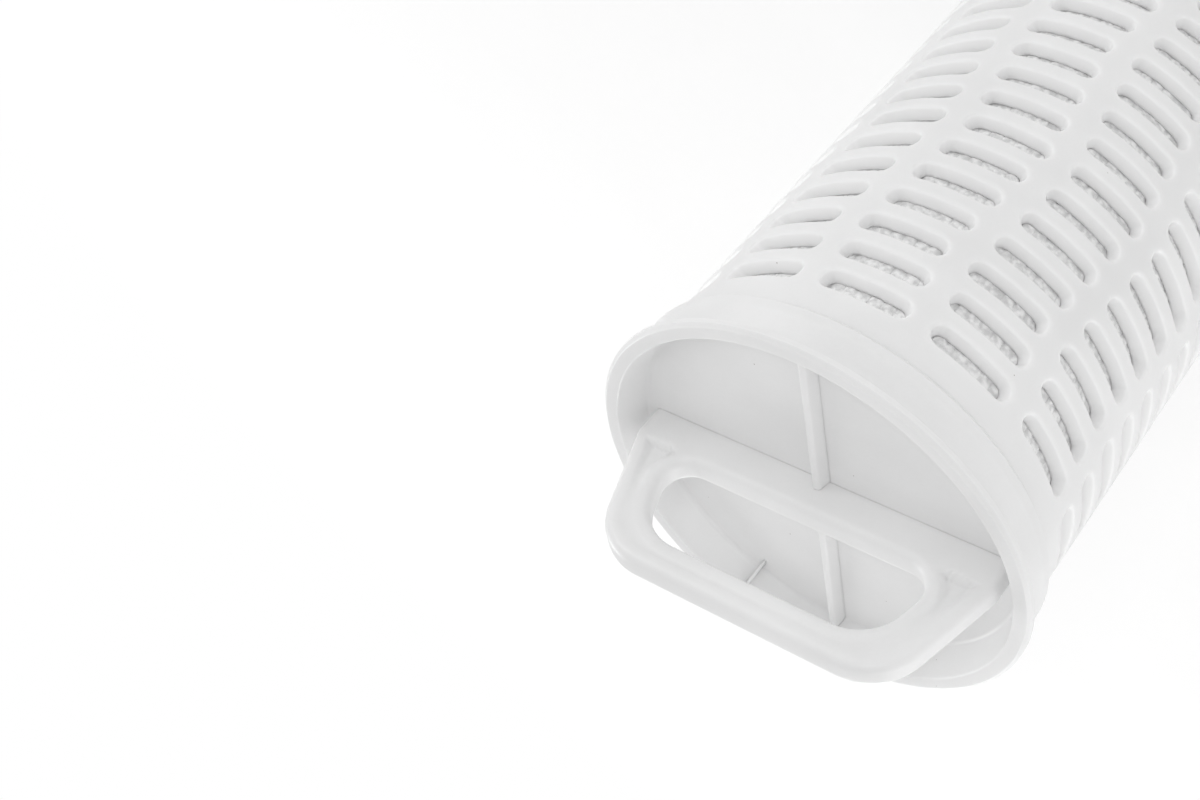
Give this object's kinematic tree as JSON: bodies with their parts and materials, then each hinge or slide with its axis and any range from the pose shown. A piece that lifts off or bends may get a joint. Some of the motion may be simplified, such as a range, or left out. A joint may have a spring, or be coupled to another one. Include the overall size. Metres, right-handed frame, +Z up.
{
  "type": "filter cartridge",
  "caption": "Large diameter pleated filter cartridge: slotted outer cage over a pleated pack, flanged closed end cap with a grab handle, open outlet end with a flat seal.",
  "frame": {"origin": "middle of the flat seal face at the open end, on the body axis, where the standing cartridge rests", "axes": "+Z up along the body axis to the handle, +X along the handle plate, +Y square to the handle plate"},
  "size_m": [0.1644, 0.1644, 0.3018],
  "materials": {
    "cap_plastic": "white moulded plastic with a soft sheen",
    "cage_plastic": "white moulded plastic with a soft sheen",
    "pleat_medium": "white nonwoven under a fine net",
    "core_plastic": "plain white moulded plastic",
    "seal_rubber": "pale seal rubber"
  },
  "bodies": {
    "root": {"handle_end_cap": "cap_plastic", "outer_cage": "cage_plastic", "pleat_pack": "pleat_medium", "inner_core": "core_plastic", "outlet_end_cap": "cap_plastic", "end_gasket": "seal_rubber"}
  },
  "joints": []
}
